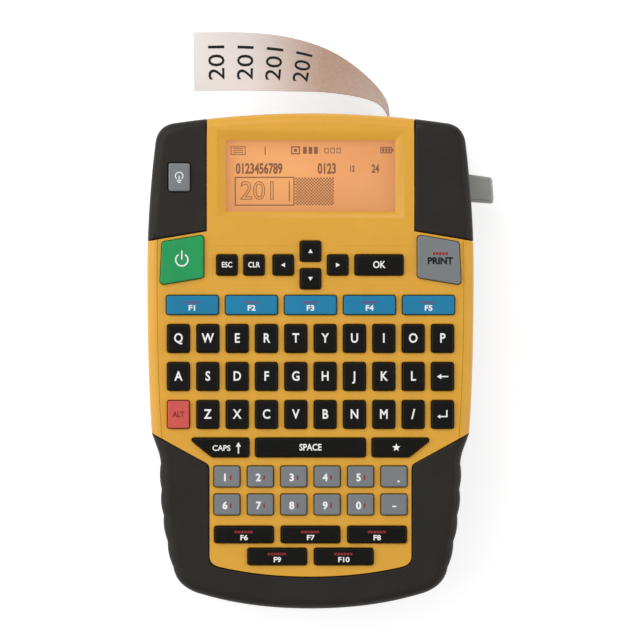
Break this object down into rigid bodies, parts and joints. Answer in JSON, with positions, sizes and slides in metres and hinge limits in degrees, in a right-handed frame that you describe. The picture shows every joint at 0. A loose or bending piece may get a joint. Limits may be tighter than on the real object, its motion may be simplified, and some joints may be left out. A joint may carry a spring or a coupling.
{
  "type": "label maker",
  "caption": "Handheld electronic label maker: yellow case with black rubber grips, backlit display, full keypad, side cutter lever and a printed label leaving the top.",
  "frame": {"origin": "centre of the flat back, which the label maker lies on", "axes": "+X to the user's right, +Y towards the display end where labels leave, +Z out of the keypad face"},
  "size_m": [0.14, 0.2324, 0.0616],
  "materials": {
    "shell_yellow": "fine-grained moulded ABS",
    "rubber_black": "matt overmoulded rubber",
    "casing_black": "fine-grained moulded ABS",
    "window_clear": "clear acrylic, tinted by the backlight",
    "display_orange": "backlit liquid-crystal panel",
    "circuit_board": "green solder mask",
    "key_mat_rubber": "moulded silicone",
    "key_black": "matt silicone, printed",
    "key_grey": "matt silicone, printed",
    "key_blue": "matt silicone, printed",
    "key_green": "matt silicone, printed",
    "key_red": "matt silicone, printed",
    "legend_white": "printed ink",
    "pressed_aluminium": "satin, pressed sheet",
    "bright_steel": "bright",
    "cassette_grey": "moulded polystyrene",
    "label_stock": "vinyl tape",
    "lever_grey": "moulded acetal",
    "roller_rubber": "ground rubber",
    "gear_nylon": "moulded nylon",
    "door_window": "smoked acrylic",
    "cell_jacket": "printed foil jacket"
  },
  "bodies": {
    "housing": {"front_shell": "shell_yellow", "rear_shell": "casing_black", "left_corner_guard": "rubber_black", "right_corner_guard": "rubber_black", "lower_grip": "rubber_black", "display_window": "window_clear", "display_module": "display_orange", "main_board": "circuit_board", "keypad_mat": "key_mat_rubber", "power_socket": "casing_black", "print_chassis": "pressed_aluminium", "print_head": "pressed_aluminium", "drive_motor": "bright_steel", "label_cassette": "cassette_grey", "label_tape": "label_stock", "printed_label": "label_stock", "cutter_spring": "bright_steel", "door_hinge_pin": "bright_steel", "battery_cells": "cell_jacket", "battery_tray": "casing_black"},
    "cutter": {"cutter_lever": "lever_grey", "cutter_blade": "bright_steel"},
    "platen": {"platen_roller": "roller_rubber", "platen_gear": "gear_nylon"},
    "pinion": {"motor_pinion": "gear_nylon"},
    "door": {"cassette_door": "casing_black", "cassette_window": "door_window"},
    "cover": {"battery_cover": "casing_black"},
    "escape_key": {"escape_key": "key_black"},
    "clear_key": {"clear_key": "key_black"},
    "left_key": {"left_key": "key_black"},
    "right_key": {"right_key": "key_black"},
    "up_key": {"up_key": "key_black"},
    "down_key": {"down_key": "key_black"},
    "ok_key": {"ok_key": "key_black"},
    "backspace_key": {"backspace_key": "key_black"},
    "slash_key": {"slash_key": "key_black"},
    "enter_key": {"enter_key": "key_black"},
    "top_letter_keys": {"top_letter_keys": "key_black"},
    "middle_letter_keys": {"middle_letter_keys": "key_black"},
    "bottom_letter_keys": {"bottom_letter_keys": "key_black"},
    "caps_key": {"caps_key": "key_black"},
    "space_key": {"space_key": "key_black"},
    "favourites_key": {"favourites_key": "key_black"},
    "function_key_1": {"function_key_1": "key_black"},
    "function_key_2": {"function_key_2": "key_black"},
    "function_key_3": {"function_key_3": "key_black"},
    "function_key_4": {"function_key_4": "key_black"},
    "function_key_5": {"function_key_5": "key_black"},
    "shortcut_key_1": {"shortcut_key_1": "key_blue"},
    "shortcut_key_2": {"shortcut_key_2": "key_blue"},
    "shortcut_key_3": {"shortcut_key_3": "key_blue"},
    "shortcut_key_4": {"shortcut_key_4": "key_blue"},
    "shortcut_key_5": {"shortcut_key_5": "key_blue"},
    "print_key": {"print_key": "key_grey"},
    "backlight_key": {"backlight_key": "key_grey"},
    "upper_number_keys": {"upper_number_keys": "key_grey"},
    "lower_number_keys": {"lower_number_keys": "key_grey"},
    "power_key": {"power_key": "key_green"},
    "alt_key": {"alt_key": "key_red"}
  },
  "joints": [
    {"name": "cutter_push", "type": "slide", "parent": "housing", "child": "cutter", "axis": [-1, 0, 0], "range_m": [0, 0.005], "stiffness_N_per_m": 400, "springref_m": -0.002, "deforming": ["cutter_spring"]},
    {"name": "platen_spin", "type": "hinge", "parent": "housing", "child": "platen", "pos_m": [0.0373, 0.062, 0.017], "axis": [0, 0, 1], "continuous": true},
    {"name": "pinion_spin", "type": "hinge", "parent": "housing", "child": "pinion", "pos_m": [0.052, 0.066, 0.035], "axis": [0, 0, 1], "continuous": true},
    {"name": "cassette_door_hinge", "type": "hinge", "parent": "housing", "child": "door", "pos_m": [0, 0.0062, 0.0036], "axis": [-1, 0, 0], "range_deg": [0, 90]},
    {"name": "battery_cover_lift", "type": "slide", "parent": "housing", "child": "cover", "axis": [0, 0, -1], "range_m": [0, 0.02]},
    {"name": "escape_key_press", "type": "slide", "parent": "housing", "child": "escape_key", "axis": [0, 0, -1], "range_m": [0, 0.0012], "stiffness_N_per_m": 700, "springref_m": -0.0005},
    {"name": "clear_key_press", "type": "slide", "parent": "housing", "child": "clear_key", "axis": [0, 0, -1], "range_m": [0, 0.0012], "stiffness_N_per_m": 700, "springref_m": -0.0005},
    {"name": "left_key_press", "type": "slide", "parent": "housing", "child": "left_key", "axis": [0, 0, -1], "range_m": [0, 0.0012], "stiffness_N_per_m": 700, "springref_m": -0.0005},
    {"name": "right_key_press", "type": "slide", "parent": "housing", "child": "right_key", "axis": [0, 0, -1], "range_m": [0, 0.0012], "stiffness_N_per_m": 700, "springref_m": -0.0005},
    {"name": "up_key_press", "type": "slide", "parent": "housing", "child": "up_key", "axis": [0, 0, -1], "range_m": [0, 0.0012], "stiffness_N_per_m": 700, "springref_m": -0.0005},
    {"name": "down_key_press", "type": "slide", "parent": "housing", "child": "down_key", "axis": [0, 0, -1], "range_m": [0, 0.0012], "stiffness_N_per_m": 700, "springref_m": -0.0005},
    {"name": "ok_key_press", "type": "slide", "parent": "housing", "child": "ok_key", "axis": [0, 0, -1], "range_m": [0, 0.0012], "stiffness_N_per_m": 700, "springref_m": -0.0005},
    {"name": "backspace_key_press", "type": "slide", "parent": "housing", "child": "backspace_key", "axis": [0, 0, -1], "range_m": [0, 0.0012], "stiffness_N_per_m": 700, "springref_m": -0.0005},
    {"name": "slash_key_press", "type": "slide", "parent": "housing", "child": "slash_key", "axis": [0, 0, -1], "range_m": [0, 0.0012], "stiffness_N_per_m": 700, "springref_m": -0.0005},
    {"name": "enter_key_press", "type": "slide", "parent": "housing", "child": "enter_key", "axis": [0, 0, -1], "range_m": [0, 0.0012], "stiffness_N_per_m": 700, "springref_m": -0.0005},
    {"name": "top_letter_keys_press", "type": "slide", "parent": "housing", "child": "top_letter_keys", "axis": [0, 0, -1], "range_m": [0, 0.0012], "stiffness_N_per_m": 1500, "springref_m": -0.0005},
    {"name": "middle_letter_keys_press", "type": "slide", "parent": "housing", "child": "middle_letter_keys", "axis": [0, 0, -1], "range_m": [0, 0.0012], "stiffness_N_per_m": 1500, "springref_m": -0.0005},
    {"name": "bottom_letter_keys_press", "type": "slide", "parent": "housing", "child": "bottom_letter_keys", "axis": [0, 0, -1], "range_m": [0, 0.0012], "stiffness_N_per_m": 1500, "springref_m": -0.0005},
    {"name": "caps_key_press", "type": "slide", "parent": "housing", "child": "caps_key", "axis": [0, 0, -1], "range_m": [0, 0.0012], "stiffness_N_per_m": 700, "springref_m": -0.0005},
    {"name": "space_key_press", "type": "slide", "parent": "housing", "child": "space_key", "axis": [0, 0, -1], "range_m": [0, 0.0012], "stiffness_N_per_m": 700, "springref_m": -0.0005},
    {"name": "favourites_key_press", "type": "slide", "parent": "housing", "child": "favourites_key", "axis": [0, 0, -1], "range_m": [0, 0.0012], "stiffness_N_per_m": 700, "springref_m": -0.0005},
    {"name": "function_key_1_press", "type": "slide", "parent": "housing", "child": "function_key_1", "axis": [0, 0, -1], "range_m": [0, 0.0012], "stiffness_N_per_m": 700, "springref_m": -0.0005},
    {"name": "function_key_2_press", "type": "slide", "parent": "housing", "child": "function_key_2", "axis": [0, 0, -1], "range_m": [0, 0.0012], "stiffness_N_per_m": 700, "springref_m": -0.0005},
    {"name": "function_key_3_press", "type": "slide", "parent": "housing", "child": "function_key_3", "axis": [0, 0, -1], "range_m": [0, 0.0012], "stiffness_N_per_m": 700, "springref_m": -0.0005},
    {"name": "function_key_4_press", "type": "slide", "parent": "housing", "child": "function_key_4", "axis": [0, 0, -1], "range_m": [0, 0.0012], "stiffness_N_per_m": 700, "springref_m": -0.0005},
    {"name": "function_key_5_press", "type": "slide", "parent": "housing", "child": "function_key_5", "axis": [0, 0, -1], "range_m": [0, 0.0012], "stiffness_N_per_m": 700, "springref_m": -0.0005},
    {"name": "shortcut_key_1_press", "type": "slide", "parent": "housing", "child": "shortcut_key_1", "axis": [0, 0, -1], "range_m": [0, 0.0012], "stiffness_N_per_m": 700, "springref_m": -0.0005},
    {"name": "shortcut_key_2_press", "type": "slide", "parent": "housing", "child": "shortcut_key_2", "axis": [0, 0, -1], "range_m": [0, 0.0012], "stiffness_N_per_m": 700, "springref_m": -0.0005},
    {"name": "shortcut_key_3_press", "type": "slide", "parent": "housing", "child": "shortcut_key_3", "axis": [0, 0, -1], "range_m": [0, 0.0012], "stiffness_N_per_m": 700, "springref_m": -0.0005},
    {"name": "shortcut_key_4_press", "type": "slide", "parent": "housing", "child": "shortcut_key_4", "axis": [0, 0, -1], "range_m": [0, 0.0012], "stiffness_N_per_m": 700, "springref_m": -0.0005},
    {"name": "shortcut_key_5_press", "type": "slide", "parent": "housing", "child": "shortcut_key_5", "axis": [0, 0, -1], "range_m": [0, 0.0012], "stiffness_N_per_m": 700, "springref_m": -0.0005},
    {"name": "print_key_press", "type": "slide", "parent": "housing", "child": "print_key", "axis": [0, 0, -1], "range_m": [0, 0.0012], "stiffness_N_per_m": 700, "springref_m": -0.0005},
    {"name": "backlight_key_press", "type": "slide", "parent": "housing", "child": "backlight_key", "axis": [0, 0, -1], "range_m": [0, 0.0012], "stiffness_N_per_m": 700, "springref_m": -0.0005},
    {"name": "upper_number_keys_press", "type": "slide", "parent": "housing", "child": "upper_number_keys", "axis": [0, 0, -1], "range_m": [0, 0.0012], "stiffness_N_per_m": 1500, "springref_m": -0.0005},
    {"name": "lower_number_keys_press", "type": "slide", "parent": "housing", "child": "lower_number_keys", "axis": [0, 0, -1], "range_m": [0, 0.0012], "stiffness_N_per_m": 1500, "springref_m": -0.0005},
    {"name": "power_key_press", "type": "slide", "parent": "housing", "child": "power_key", "axis": [0, 0, -1], "range_m": [0, 0.0012], "stiffness_N_per_m": 700, "springref_m": -0.0005},
    {"name": "alt_key_press", "type": "slide", "parent": "housing", "child": "alt_key", "axis": [0, 0, -1], "range_m": [0, 0.0012], "stiffness_N_per_m": 700, "springref_m": -0.0005}
  ],
  "couplings": [
    {"joint": "pinion_spin", "follows": "platen_spin", "ratio": -2.1667}
  ]
}
